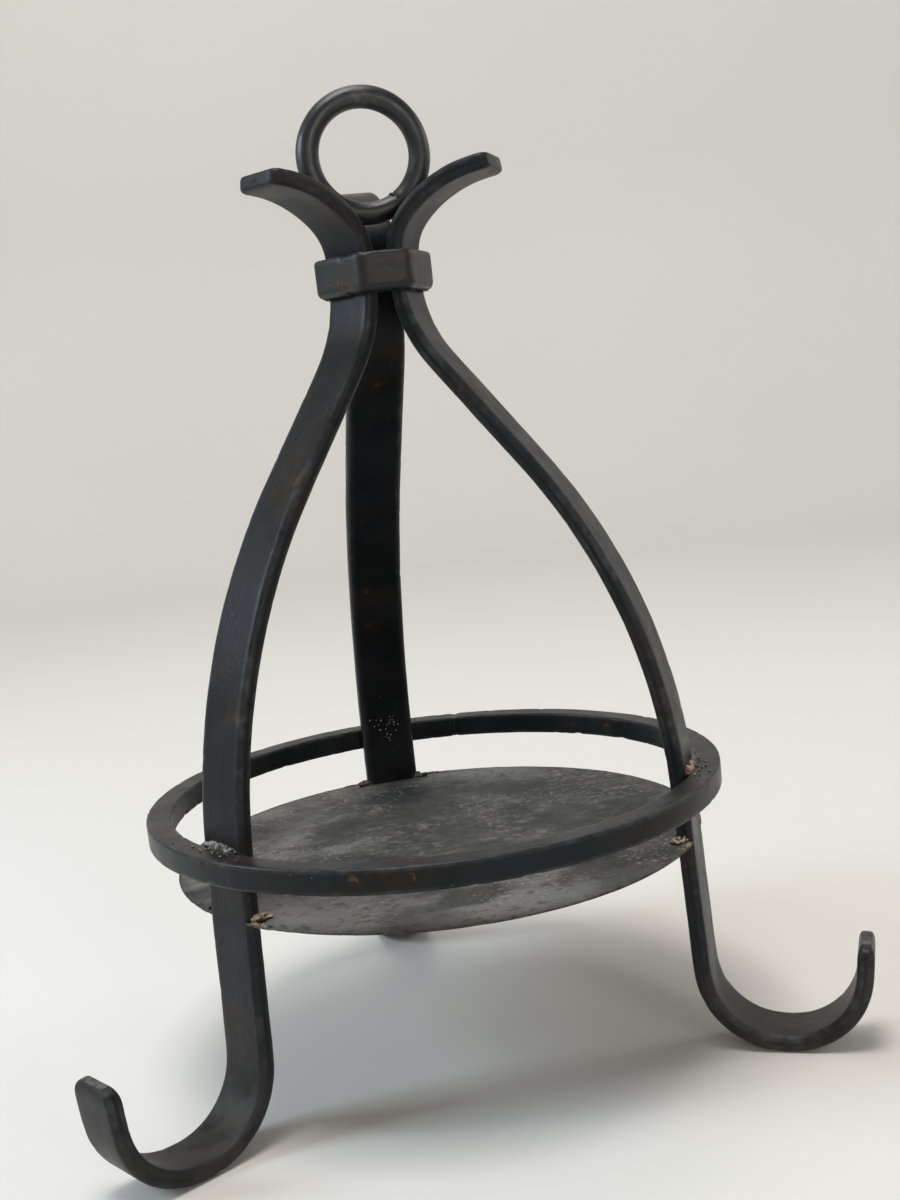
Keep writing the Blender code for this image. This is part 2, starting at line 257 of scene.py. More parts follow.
def bar_section(width, depth, step, edge):
    """Outline of a bar's section as (u, v, normal u, normal v, wear), with rounded edges."""
    half_u, half_v = width / 2 - edge, depth / 2 - edge
    corners = ((half_u, half_v), (-half_u, half_v), (-half_u, -half_v), (half_u, -half_v))
    outline = []
    for quarter, (u, v) in enumerate(corners):
        for k in range(CORNER_STEPS + 1):
            angle = (quarter + k / CORNER_STEPS) * pi / 2
            nu, nv = cos(angle), sin(angle)
            outline.append((u + edge * nu, v + edge * nv, nu, nv, 1.0))
        next_u, next_v = corners[(quarter + 1) % 4]
        length = abs(next_u - u) + abs(next_v - v)
        count = max(2, round(length / step))
        for k in range(1, count):
            share = k / count
            wear = max(0.0, 1 - min(share, 1 - share) * length / WEAR_REACH)
            outline.append((u + (next_u - u) * share + edge * nu,
                            v + (next_v - v) * share + edge * nv, nu, nv, wear))
    return outline


def round_section(radius, steps):
    """Outline of a round bar's section, in the form that bar_section gives."""
    turns = [2 * pi * k / steps for k in range(steps)]
    return [(radius * cos(turn), radius * sin(turn), cos(turn), sin(turn), 0.3)
            for turn in turns]


def swept(stations, section, sink, closed=False):
    """Points, faces, wear and girth of a skin along a bar.

    A station is (centre, across, depth, share of the width, share of the depth, wear)."""
    points, wear, girth = [], [], []
    count = len(section)
    for centre, across, depth, share_u, share_v, worn in stations:
        around = 0.0
        last = section[0]
        for u, v, nu, nv, edge in section:
            at = centre + across * (u * share_u) + depth * (v * share_v)
            edge = max(edge, worn)
            points.append(at - (across * nu + depth * nv) * sink(at, edge))
            wear.append(edge)
            around += sqrt((u - last[0]) ** 2 + (v - last[1]) ** 2)
            girth.append(around)
            last = (u, v)
    faces = ring_faces(len(stations), count, closed=closed)
    if not closed:
        faces.append(tuple(reversed(range(count))))
        faces.append(tuple(range(len(points) - count, len(points))))
    return points, faces, wear, girth


def hammered(seed, wave, nick):
    """How far a hand-forged surface sinks at a place: broad hammer marks, nicks along edges."""
    offset = Vector((seed, 2.7 * seed, -1.3 * seed))

    def sink(at, edge):
        broad = noise.noise(at / HAMMER_BROAD + offset)
        mark = noise.noise(at / HAMMER_MARK - offset)
        chip = noise.noise(at / HAMMER_CHIP + offset * 2)
        return (wave * (0.5 + 0.36 * broad + 0.3 * mark)
                + edge * nick * max(0.0, chip - 0.22))
    return sink


# ---- materials ----------------------------------------------------------------------------

class Finish:
    """A Principled material, put together node by node in the object's own metres."""

    def __init__(self, name):
        self.material = bpy.data.materials.new(name)
        self.material.use_nodes = True
        self.tree = self.material.node_tree
        self.shader = self.tree.nodes["Principled BSDF"]
        self.place = self.add("ShaderNodeTexCoord").outputs["Object"]

    def add(self, kind, **settings):
        node = self.tree.nodes.new(kind)
        for key, value in settings.items():
            setattr(node, key, value)
        return node

    def put(self, socket, value):
        if isinstance(value, bpy.types.NodeSocket):
            self.tree.links.new(value, socket)
        else:
            socket.default_value = value

    def stretched(self, size_x, size_y, size_z, turn=0.0):
        """The place, measured in cells of that size, turned about the vertical."""
        node = self.add("ShaderNodeMapping")
        self.put(node.inputs["Vector"], self.place)
        node.inputs["Rotation"].default_value = (0.0, 0.0, turn)
        node.inputs["Scale"].default_value = (1 / size_x, 1 / size_y, 1 / size_z)
        return node.outputs["Vector"]

    def noise(self, size, detail=2.0, place=None, w=None):
        node = self.add("ShaderNodeTexNoise", noise_dimensions="3D" if w is None else "4D")
        self.put(node.inputs["Vector"], self.place if place is None else place)
        node.inputs["Scale"].default_value = 1 / size
        node.inputs["Detail"].default_value = detail
        if w is not None:
            self.put(node.inputs["W"], w)
        return node.outputs["Fac"]

    def cells(self, size, output="Distance"):
        node = self.add("ShaderNodeTexVoronoi")
        self.put(node.inputs["Vector"], self.place)
        node.inputs["Scale"].default_value = 1 / size
        return node.outputs[output]

    def attribute(self, name):
        return self.add("ShaderNodeAttribute", attribute_name=name).outputs["Fac"]

    def facing_up(self):
        axes = self.add("ShaderNodeSeparateXYZ")
        self.put(axes.inputs[0], self.add("ShaderNodeNewGeometry").outputs["Normal"])
        return axes.outputs["Z"]

    def height(self):
        axes = self.add("ShaderNodeSeparateXYZ")
        self.put(axes.inputs[0], self.place)
        return axes.outputs["Z"]

    def maths(self, operation, a, b):
        node = self.add("ShaderNodeMath", operation=operation, use_clamp=False)
        self.put(node.inputs[0], a)
        self.put(node.inputs[1], b)
        return node.outputs[0]

    def between(self, value, low, high, start=0.0, end=1.0):
        """0 below low and 1 above high, or start and end, with a smooth step between."""
        node = self.add("ShaderNodeMapRange", interpolation_type="SMOOTHSTEP")
        self.put(node.inputs["Value"], value)
        for key, number in (("From Min", low), ("From Max", high), ("To Min", start),
                            ("To Max", end)):
            node.inputs[key].default_value = number
        return node.outputs["Result"]

    def product(self, first, *others):
        for other in others:
            first = self.maths("MULTIPLY", first, other)
        return first

    def mixed(self, share, a, b):
        node = self.add("ShaderNodeMix", data_type="RGBA")
        self.put(node.inputs["Factor"], share)
        for socket, value in ((node.inputs[6], a), (node.inputs[7], b)):
            self.put(socket, value if isinstance(value, bpy.types.NodeSocket) else (*value, 1.0))
        return node.outputs[2]

    def done(self, colour, roughness, metallic, height, bump_strength, specular):
        self.put(self.shader.inputs["Base Color"], colour)
        self.put(self.shader.inputs["Roughness"], roughness)
        self.put(self.shader.inputs["Metallic"], metallic)
        self.shader.inputs["Specular IOR Level"].default_value = specular
        bump = self.add("ShaderNodeBump")
        bump.inputs["Strength"].default_value = bump_strength
        bump.inputs["Distance"].default_value = 0.0003
        self.put(bump.inputs["Height"], height)
        self.put(self.shader.inputs["Normal"], bump.outputs["Normal"])
        return self.material


BLACK = (0.0032, 0.0038, 0.0048)
SOOT = (0.0060, 0.0068, 0.0080)
BROWN = (0.0180, 0.0115, 0.0075)
DUST = (0.120, 0.112, 0.100)
RUST = (0.085, 0.044, 0.024)
STEEL = (0.0065, 0.0085, 0.0120)
# The next colour is painted bounce light: the warm grey that the pale floor throws on the feet.
FLOOR_BOUNCE_TINT = (0.050, 0.045, 0.038)
WORN = (0.022, 0.024, 0.027)
BARE = (0.170, 0.178, 0.190)
CREAM = (0.400, 0.320, 0.210)
SPECK = (0.420, 0.410, 0.380)
# Pale colour of rubbed bar ends; on the ring's top it is partly a painted highlight.
RUBBED_TIP_AND_HIGHLIGHT = (0.115, 0.106, 0.094)
PLATE_DARK, PLATE_PALE = (0.034, 0.0335, 0.0320), (0.118, 0.115, 0.106)
PLATE_SMUDGE = (0.011, 0.011, 0.012)
PLATE_CRUST = (0.27, 0.26, 0.245)
PLATE_GRIT = (0.014, 0.014, 0.014)
PLATE_SCRATCH = (0.015, 0.014, 0.013)
PLATE_RIM = (0.150, 0.105, 0.060)
WELD_RUST = (0.170, 0.070, 0.030)
WELD_BARE = (0.420, 0.425, 0.430)
FLOOR_DARK, FLOOR_PALE = (0.620, 0.600, 0.565), (0.660, 0.645, 0.615)


def forged_finish(name, dust, rust, brown=0.6, shine=0.17):
    """Satin black over forged iron: mottled, dusty on top, worn bright along the edges."""
    made = Finish(name)
    mottle = made.noise(0.016, 4.0)
    grain = made.noise(0.045, 3.0, w=made.maths("DIVIDE", made.attribute("girth"), 0.0011))
    colour = made.mixed(made.between(mottle, 0.35, 0.65), BLACK, SOOT)
    colour = made.mixed(made.product(made.between(made.noise(0.070, 3.0), 0.45, 0.65), 0.7),
                        colour, STEEL)
    patches = made.between(made.noise(0.034, 4.0), 0.50, 0.66)
    colour = made.mixed(made.product(patches, brown), colour, BROWN)
    settled = made.product(made.between(made.facing_up(), 0.35, 0.97),
                           made.between(made.noise(0.009, 5.0), 0.30, 0.72), dust)
    colour = made.mixed(settled, colour, DUST)
    # Painted bounce light: a lighter, warmer grey towards the floor, where the pale floor lights
    # the feet.
    painted_floor_bounce = made.product(made.between(made.height(), 0.052, 0.012),
                         made.between(made.noise(0.011, 5.0), 0.30, 0.66), 0.62)
    colour = made.mixed(painted_floor_bounce, colour, FLOOR_BOUNCE_TINT)
    blots = made.product(made.between(made.noise(0.0052, 5.0), 0.60, 0.68),
                         made.between(made.noise(0.034, 1.0), 0.56, 0.64), rust)
    colour = made.mixed(blots, colour, RUST)
    specks = made.product(made.between(made.cells(0.0046), 0.08, 0.04),
                          made.between(made.noise(0.013, 1.0), 0.56, 0.64), 0.22)
    colour = made.mixed(specks, colour, SPECK)
    edge = made.between(made.attribute("wear"), 0.35, 1.0)
    colour = made.mixed(made.product(edge, made.noise(0.008, 3.0), 0.8), colour, WORN)
    rubbed = made.maths("ADD", made.noise(0.0040, 4.0), made.product(made.noise(0.030), 1.1))
    bare = made.product(edge, made.between(rubbed, 1.00, 1.60), 0.20)
    colour = made.mixed(bare, colour, BARE)
    # Wear above 1: rubbed tips of the feet and petals, and the ring's top, where this pale colour
    # is partly a painted highlight.
    tip = made.product(made.between(made.attribute("wear"), 1.02, 1.28),
                       made.between(made.noise(0.0030, 4.0), 0.36, 0.62), 0.9)
    colour = made.mixed(tip, colour, RUBBED_TIP_AND_HIGHLIGHT)
    roughness = made.between(made.maths("ADD", made.product(mottle, 0.6),
                                        made.product(grain, 0.4)), 0.30, 0.70, 0.27, 0.46)
    roughness = made.maths("ADD", roughness, made.product(settled, 0.35))
    roughness = made.maths("ADD", roughness, made.product(painted_floor_bounce, 0.20))
    roughness = made.maths("ADD", roughness, made.product(blots, 0.30))
    fine = made.maths("ADD", made.product(made.noise(0.0016, 3.0), 0.5),
                      made.product(made.noise(0.006, 2.0), 0.9))
    pits = made.product(made.between(made.cells(0.0034), 0.26, 0.08),
                        made.between(made.noise(0.010, 2.0), 0.52, 0.62), -0.5)
    height = made.maths("ADD", made.maths("ADD", fine, pits), made.product(grain, 0.25))
    return made.done(colour, roughness, made.product(bare, 0.8), height, 0.5, shine)


def plate_finish():
    """Sheet iron that was never polished: dusty, pitted and scratched, with sooty smudges."""
    made = Finish("plate_iron")
    colour = made.mixed(made.between(made.noise(0.060, 5.0), 0.40, 0.60), PLATE_DARK, PLATE_PALE)
    dusty = made.product(made.between(made.noise(0.005, 5.0), 0.48, 0.70),
                         made.between(made.noise(0.040, 2.0), 0.40, 0.60))
    colour = made.mixed(dusty, colour, DUST)
    smudge = made.between(made.noise(0.042, 4.0, made.stretched(1.5, 1.0, 1.0, 0.4)), 0.53, 0.62)
    colour = made.mixed(made.product(smudge, 0.85), colour, PLATE_SMUDGE)
    crust = made.between(made.noise(0.0022, 8.0), 0.56, 0.66)
    where = made.between(made.noise(0.034, 4.0), 0.40, 0.62)
    colour = made.mixed(made.product(crust, where, 0.6), colour, PLATE_CRUST)
    grit = made.product(made.between(made.noise(0.0036, 6.0), 0.45, 0.36), 0.6)
    colour = made.mixed(grit, colour, PLATE_GRIT)
    strokes = made.noise(1.0, 1.0, made.stretched(0.070, 0.0030, 0.070, radians(24)))
    scratch = made.product(made.between(made.maths("ABSOLUTE", made.maths(
        "SUBTRACT", strokes, 0.5), 0.0), 0.010, 0.002),
        made.between(made.noise(0.020), 0.50, 0.60))
    colour = made.mixed(made.product(scratch, 0.6), colour, PLATE_SCRATCH)
    under = made.between(made.facing_up(), 0.2, -0.2)
    colour = made.mixed(made.product(under, 0.8), colour, BLACK)
    rim = made.product(made.attribute("wear"), made.between(made.noise(0.006, 4.0), 0.42, 0.62))
    colour = made.mixed(made.product(rim, 0.55), colour, PLATE_RIM)
    roughness = made.between(made.noise(0.012, 4.0), 0.3, 0.7, 0.50, 0.72)
    pits = made.product(made.between(made.cells(0.0040), 0.30, 0.10),
                        made.between(made.noise(0.012, 2.0), 0.48, 0.60), -0.9)
    height = made.maths("ADD", made.product(made.noise(0.0020, 4.0), 2.2), pits)
    height = made.maths("SUBTRACT", height, made.product(scratch, 0.8))
    return made.done(colour, roughness, 0.0, height, 0.9, 0.45)


def weld_finish(name, bright, rust, cream):
    """Weld metal: dark in its creases, with bare, rusty or chalky high spots."""
    made = Finish(name)
    high = made.attribute("wear")
    colour = made.mixed(made.between(made.noise(0.0024, 4.0), 0.42, 0.58), BLACK, BROWN)
    rusty = made.product(made.between(made.noise(0.0031, 4.0), 0.44, 0.56), rust)
    colour = made.mixed(rusty, colour, WELD_RUST)
    chalk = made.product(made.between(made.noise(0.0022, 4.0), 0.46, 0.56),
                         made.between(high, 0.25, 0.7), cream)
    colour = made.mixed(chalk, colour, CREAM)
    bare = made.product(made.between(high, 0.35, 0.75),
                        made.between(made.noise(0.0026, 3.0), 0.36, 0.50), bright)
    colour = made.mixed(bare, colour, WELD_BARE)
    roughness = made.maths("ADD", made.between(made.noise(0.003, 3.0), 0.3, 0.7, 0.42, 0.62),
                           made.product(chalk, 0.25))
    height = made.product(made.noise(0.0009, 3.0), 1.2)
    return made.done(colour, roughness, made.product(bare, 0.7), height, 0.7, 0.5)


def floor_finish():
    made = Finish("floor")
    colour = made.mixed(made.noise(0.6, 2.0), FLOOR_DARK, FLOOR_PALE)
    return made.done(colour, 0.55, 0.0, made.noise(0.02, 2.0), 0.02, 0.3)


# ---- the pieces ---------------------------------------------------------------------------

def end_shares(radius, nose, most_wear):
    """How a bar's end rounds off: (way forward, share of width, share of depth, wear)."""
    shares = []
    for k in range(1, 9):
        angle = pi / 2 * k / 8
        lost = 1 - cos(angle)
        shares.append((radius * sin(angle), 1 - 2 * radius / BAR_WIDTH * lost,
                       1 - nose * lost, most_wear * lost))
    forward, share_u, share_v, worn = shares[-1]
    for k, cap in enumerate(CAP_SHARES):
        shares.append((forward + CAP_STEP * (k + 1), share_u * cap, share_v * cap, worn))
    return shares


def make_leg(place, material):
    """A leg's flat bar along its inner face, with worn ends on the petal and the foot."""
    outward = LEGS[place]
    cut = FOOT_END[0] + FOOT_CUT[place]
    line = softened(INNER[place], 3)[round(PETAL_END[0] / STEP):-round(cut / STEP)]
    across = beside(outward)
    stations = []
    for (reach, height), (run, rise) in zip(line, np.gradient(line, axis=0)):
        ahead = Vector((run, rise)).normalized()
        depth = UP * ahead.x - outward * ahead.y
        centre = AXIS + outward * reach + UP * height + depth * (BAR_THICK / 2)
        stations.append((centre, across, depth, 1.0, 1.0, 0.0))
    ends = []
    for station, sign, shares in ((stations[0], 1, end_shares(*PETAL_END)),
                                  (stations[-1], -1, end_shares(*FOOT_END))):
        centre, _, depth = station[:3]
        forward = depth.cross(across) * sign
        ends.append([(centre + forward * way, across, depth, share_u, share_v, worn)
                     for way, share_u, share_v, worn in shares])
    stations = list(reversed(ends[0])) + stations + ends[1]
    section = bar_section(BAR_WIDTH, BAR_THICK, 0.0015, BAR_EDGE)
    skin = swept(stations, section, hammered(3.1 + 5 * outward.x, 0.00032, 0.0003))
    points, faces, wear, girth = skin
    make_piece("forged_leg_" + place, points, faces, material,
               ["leg_" + place], wear, girth)


def make_hoop(material):
    """Square bar bent round; its closing joint leaves a groove and a small step."""
    joint = box_middle("weld_hoop_joint") - AXIS
    joint_turn = np.arctan2(joint.y, joint.x)
    middle = AXIS + UP * ((HOOP_LOW.z + HOOP_HIGH.z) / 2)
    count = round(2 * pi * HOOP_RADIUS / STEP)
    stations = []
    for k in range(count):
        share = k / count
        turn = joint_turn + 2 * pi * share
        outward = Vector((cos(turn), sin(turn), 0.0))
        groove = 1 - 0.10 * np.exp(-(min(share, 1 - share) * count / 1.2) ** 2)
        slip = -0.0005 * max(0.0, 1 - share * 14)
        reach = HOOP_RADIUS - (HOOP_BAR + CONTACT) / 2 + slip
        stations.append((middle + outward * reach, outward, UP, groove, groove, 0.0))
    section = bar_section(HOOP_BAR + CONTACT, HOOP_BAR, 0.0011, 0.0012)
    points, faces, wear, girth = swept(stations, section, hammered(11.3, 0.0003, 0.0010),
                                       closed=True)
    make_piece("forged_hoop", points, faces, material, ["hoop"], wear, girth)


def make_band(material):
    """The wrapped strip, with its lower edge worn round."""
    low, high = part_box("band")
    loops = slice_loops("band", Vector((0.0, 0.0, (low.z + high.z) / 2)), UP)
    loops.sort(key=lambda loop: max((point - AXIS).length_squared for point in loop))
    inner, outer = [[(point.x - AXIS.x, point.y - AXIS.y) for point in loop] for loop in loops]
    thick = max(y for x, y in outer) - max(y for x, y in inner)
    line = resample(outer, 0.0007, closed=True)
    line = softened(line, 1, closed=True)
    ahead = np.roll(line, -1, axis=0) - np.roll(line, 1, axis=0)
    ahead /= np.linalg.norm(ahead, axis=1)[:, None]
    turned = np.sign(np.mean(line[:, 0] * ahead[:, 1] - line[:, 1] * ahead[:, 0]))
    stations = []
    for (x, y), (run, rise) in zip(line, ahead):
        outward = Vector((rise, -run, 0.0)) * float(turned)
        centre = AXIS + Vector((x, y, (low.z + high.z) / 2)) - outward * (thick / 2)
        stations.append((centre, UP, outward, 1.0, 1.0, 0.0))
    height = high.z - low.z
    section = bar_section(height, thick, 0.0009, 0.0018)
    heel = 0.0036
    shaped = []
    for u, v, nu, nv, wear in section:
        tuck = max(0.0, -height / 2 + heel - u) if v > 0 else 0.0
        shaped.append((u, v - tuck * tuck / heel * 0.55, nu, nv, wear))
    points, faces, wear, girth = swept(stations, shaped, hammered(23.9, 0.0003, 0.0010),
                                       closed=True)
    make_piece("forged_band", points, faces, material, ["band"], wear, girth)


def make_ring(material):
    """Round bar bent into a ring, a little flattened by the hammer, with a closing joint."""
    low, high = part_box("top_ring")
    bar = high.y - low.y
    radius = (high.x - low.x - bar) / 2
    middle = (low + high) / 2
    joint = box_middle("weld_ring_joint") - middle
    joint_turn = np.arctan2(joint.z, joint.x)
    forward = Vector((0.0, 1.0, 0.0))
    count = round(2 * pi * radius / 0.0008)
    stations = []
    for k in range(count):
        share = k / count
        turn = joint_turn + 2 * pi * share
        away = Vector((cos(turn), 0.0, sin(turn)))
        groove = 1 - 0.09 * np.exp(-(min(share, 1 - share) * count / 1.4) ** 2)
        swell = groove * (1 - 0.02 * sin(3 * turn + 1))
        # Extra wear on the ring's top: partly rubbing, partly a painted highlight.
        top = max(0.0, sin(turn)) ** 6
        stations.append((middle + away * radius, away, forward, swell, swell, 1.15 * top))
    points, faces, wear, girth = swept(stations, round_section(bar / 2, 36),
                                       hammered(31.7, 0.0003, 0.0), closed=True)
    make_piece("forged_ring", points, faces, material, ["top_ring"], wear, girth)


def plate_reach(turn):
    """Reach of the plate's rim: full, or just inside a leg's bar where the leg passes."""
    away = Vector((cos(turn), sin(turn), 0.0))
    for place, outward in LEGS.items():
        side = abs(away.dot(beside(outward))) * PLATE_RADIUS
        if away.dot(outward) > 0 and side < BAR_WIDTH / 2 - NOTCH_INSET:
            inner = reach_at(INNER[place], PLATE_HIGH.z)
            return (inner + CONTACT * 2) / away.dot(outward)
    return PLATE_RADIUS


def make_plate(material):
    """The plate as rings of points from its centre over the rounded rim to the underside."""
    top, bottom = PLATE_HIGH.z, PLATE_LOW.z
    half = (top - bottom) / 2
    flat = PLATE_RADIUS - RIM_ROUND
    profile = [(k / PLATE_RINGS * flat, top, 0.0) for k in range(1, PLATE_RINGS + 1)]
    for k in range(1, 6):
        turn = pi * k / 6
        profile.append((flat + RIM_ROUND * sin(turn), top - half * (1 - cos(turn)), 1.0))
    profile += [(flat * (1 - k / UNDER_RINGS), bottom, 0.0) for k in range(UNDER_RINGS)]
    points, wear, faces = [], [], []
    for reach, height, rim in profile:
        for k in range(PLATE_SEGMENTS):
            turn = 2 * pi * k / PLATE_SEGMENTS
            share = plate_reach(turn) / PLATE_RADIUS
            at = AXIS + Vector((cos(turn), sin(turn), 0.0)) * (reach * share)
            at.z = height
            at.z += plate_wave(at, reach) * (1 if height > bottom + half else -1)
            points.append(at)
            wear.append(max(rim, 1 - (PLATE_RADIUS - reach) / RIM_WEAR))
    faces += ring_faces(len(profile), PLATE_SEGMENTS)
    for ring, height in ((0, top - HUB_DIP), (len(profile) - 1, bottom + HUB_DIP)):
        points.append(AXIS + UP * height)
        wear.append(0.0)
        first = ring * PLATE_SEGMENTS
        for k in range(PLATE_SEGMENTS):
            faces.append((first + k, first + (k + 1) % PLATE_SEGMENTS, len(points) - 1))
    make_piece("sheet_plate", points, faces, material, ["plate"], wear)


def plate_wave(at, reach):
    """How far the sheet sinks at a place: shallow hammer marks, small pits, a drooping rim."""
    broad = noise.noise(at / 0.040 + Vector((5.0, 1.0, 0.0)))
    mark = noise.noise(at / 0.012)
    pit = max(0.0, noise.noise(at / 0.0045 + Vector((9.0, 0.0, 0.0))) - 0.25)
    droop = 0.0004 * max(0.0, (reach - 0.93 * PLATE_RADIUS) / (0.07 * PLATE_RADIUS))
    return -0.0003 * (0.5 + 0.4 * broad + 0.25 * mark) - 0.0006 * pit - droop


# ---- weld beads ---------------------------------------------------------------------------

class Lumps:
    """Collects closed lumps of weld metal into one mesh."""

    def __init__(self, seed):
        self.chance = random.Random(seed)
        self.points, self.faces, self.wear = [], [], []

    def rough(self, at, size):
        ripple = noise.noise(at / 0.0024) * 0.28 + noise.noise(at / 0.0010) * 0.14
        return size * (1 + ripple)

    def take(self, loops, proud):
        """Join closed loops of points, with a point at each end."""
        start, count = len(self.points), len(loops[0])
        for loop, heights in zip(loops, proud):
            self.points += loop
            self.wear += heights
        self.faces += ring_faces(len(loops), count, start)
        for ring in (0, len(loops) - 1):
            centre = sum(loops[ring], Vector()) / count
            self.points.append(centre)
            self.wear.append(0.4)
            first = start + ring * count
            for k in range(count):
                self.faces.append((first + k, first + (k + 1) % count, len(self.points) - 1))

    def bead(self, path, out, up, size):
        """A rippled run of weld along a path, in the corner between two faces."""
        path = resample(path, BEAD_STEP)
        length = len(path) * BEAD_STEP
        loops, proud = [], []
        phase = self.chance.random() * 6
        for k, spot in enumerate(path):
            spot = Vector(spot)
            share = 2 * k / (len(path) - 1) - 1
            swell = sqrt(max(0.02, 1 - abs(share) ** 5))
            swell *= 1 + 0.10 * sin(length / 0.0019 * pi * share + phase)
            loop, heights = [], []
            for j in range(BEAD_SIDES):
                turn = 2 * pi * j / BEAD_SIDES
                way = out * cos(turn) + up * sin(turn)
                reach = self.rough(spot + way * size, size * swell)
                loop.append(spot + way * reach)
                heights.append(min(1.0, max(0.0, (reach / size - 0.7) * 2)))
            loops.append(loop)
            proud.append(heights)
        self.take(loops, proud)

    def drop(self, centre, normal, radius):
        """A droplet of spatter, sunk a little into the face it landed on."""
        side = normal.orthogonal().normalized()
        other = normal.cross(side)
        loops, proud = [], []
        for k in range(1, DROP_LAYERS):
            turn = pi * k / DROP_LAYERS
            height = radius * (0.75 * cos(turn) + 0.15)
            loop = []
            for j in range(DROP_SIDES):
                around = 2 * pi * j / DROP_SIDES
                way = side * cos(around) + other * sin(around)
                at = centre + normal * height + way * (radius * sin(turn))
                loop.append(at + way * (self.rough(at, radius) - radius) * 0.5)
            loops.append(loop)
            proud.append([max(0.0, cos(turn))] * DROP_SIDES)
        self.take(loops, proud)

    def spatter(self, middle, normal, spread_a, spread_b, count, sizes):
        """Droplets scattered round a place on a flat face."""
        for _ in range(count):
            shift = spread_a * self.chance.gauss(0, 0.5) + spread_b * self.chance.gauss(0, 0.5)
            self.drop(middle + shift, normal, self.chance.uniform(*sizes))

    def finish(self, name, material, nodes):
        make_piece(name, self.points, self.faces, material, nodes, self.wear)


def hoop_welds(place, finishes):
    """The beads above and below the hoop where its inside meets a leg, with their spatter."""
    outward = LEGS[place]
    along = beside(outward)
    for level, edge, rise in (("top", HOOP_HIGH.z, UP), ("under", HOOP_LOW.z, -UP)):
        node = "weld_hoop_%s_%s" % (level, place)
        length = float(np.ptp(node_extent(node, along)))
        size = float(np.ptp(node_extent(node, UP)))
        lumps = Lumps(node)
        reach = reach_at(OUTER[place], edge)
        corner = AXIS + outward * (reach - CONTACT) + UP * edge - rise * CONTACT
        way = along * (length / 2)
        lumps.bead([corner - way, corner + way], outward, rise, size * 0.7)
        for _ in range(9):
            shift = along * lumps.chance.uniform(-length / 2, length / 2)
            lumps.drop(corner + shift + (outward + rise) * size * 0.4, (outward + rise) / sqrt(2),
                       size * lumps.chance.uniform(0.12, 0.30))
        if level == "top":
            on_hoop = corner + outward * 0.005 + rise * CONTACT
            lumps.spatter(on_hoop, UP, along * 0.018, outward * 0.003, 16, (0.0003, 0.0006))
        lumps.finish("bead_hoop_%s_%s" % (level, place), finishes[node], [node])


def plate_welds(place, finishes):
    """The lumps at both sides of a leg, where its bar passes through the plate's rim."""
    outward = LEGS[place]
    for label, sign in (("a", 1), ("b", -1)):
        node = "weld_plate_%s_%s" % (place, label)
        side = beside(outward) * sign
        low, high = node_extent(node, outward)
        size = float(np.ptp(node_extent(node, UP)))
        lumps = Lumps(node)
        middle = (low + high) / 2 - AXIS.dot(outward)
        corner = AXIS + outward * middle + side * (BAR_WIDTH / 2 - CONTACT)
        corner.z = PLATE_HIGH.z - CONTACT
        way = outward * ((high - low) * 0.6)
        lumps.bead([corner - way, corner + way * 0.6], side, UP, size * 0.75)
        for _ in range(14):
            shift = outward * lumps.chance.uniform(-0.0044, 0.0020)
            shift += side * lumps.chance.uniform(0.0003, 0.0046)
            lumps.drop(corner + shift + UP * lumps.chance.uniform(0.0003, 0.0014), UP,
                       lumps.chance.uniform(0.0006, 0.0014))
        rim = [AXIS + side * (BAR_WIDTH / 2 + 0.0011 * k) + UP * (PLATE_HIGH.z - 0.0008)
               + outward * (sqrt(PLATE_RADIUS ** 2 - (BAR_WIDTH / 2 + 0.0011 * k) ** 2) - 0.0012)
               for k in range(12)]
        lumps.bead(rim, outward, UP, size * 0.30)
        lumps.spatter(corner + side * 0.007 - outward * 0.007, UP, side * 0.005,
                      outward * 0.004, 7, (0.0003, 0.0006))
        lumps.finish("bead_plate_%s_%s" % (place, label), finishes[node], [node])


def small_weld(node, name, normal, finish):
    """A lump that follows the box of its CAD node."""
    low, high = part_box(node)
    lumps = Lumps(node)
    centre, half = (low + high) / 2, (high - low) / 2
    lumps.drop(centre - normal * half.length * 0.3, normal, half.length * 0.6)
    for _ in range(7):
        shift = Vector([lumps.chance.uniform(-0.7, 0.7) * size for size in half])
        lumps.drop(centre + shift, normal, half.length * lumps.chance.uniform(0.22, 0.38))
    lumps.finish(name, finish, [node])


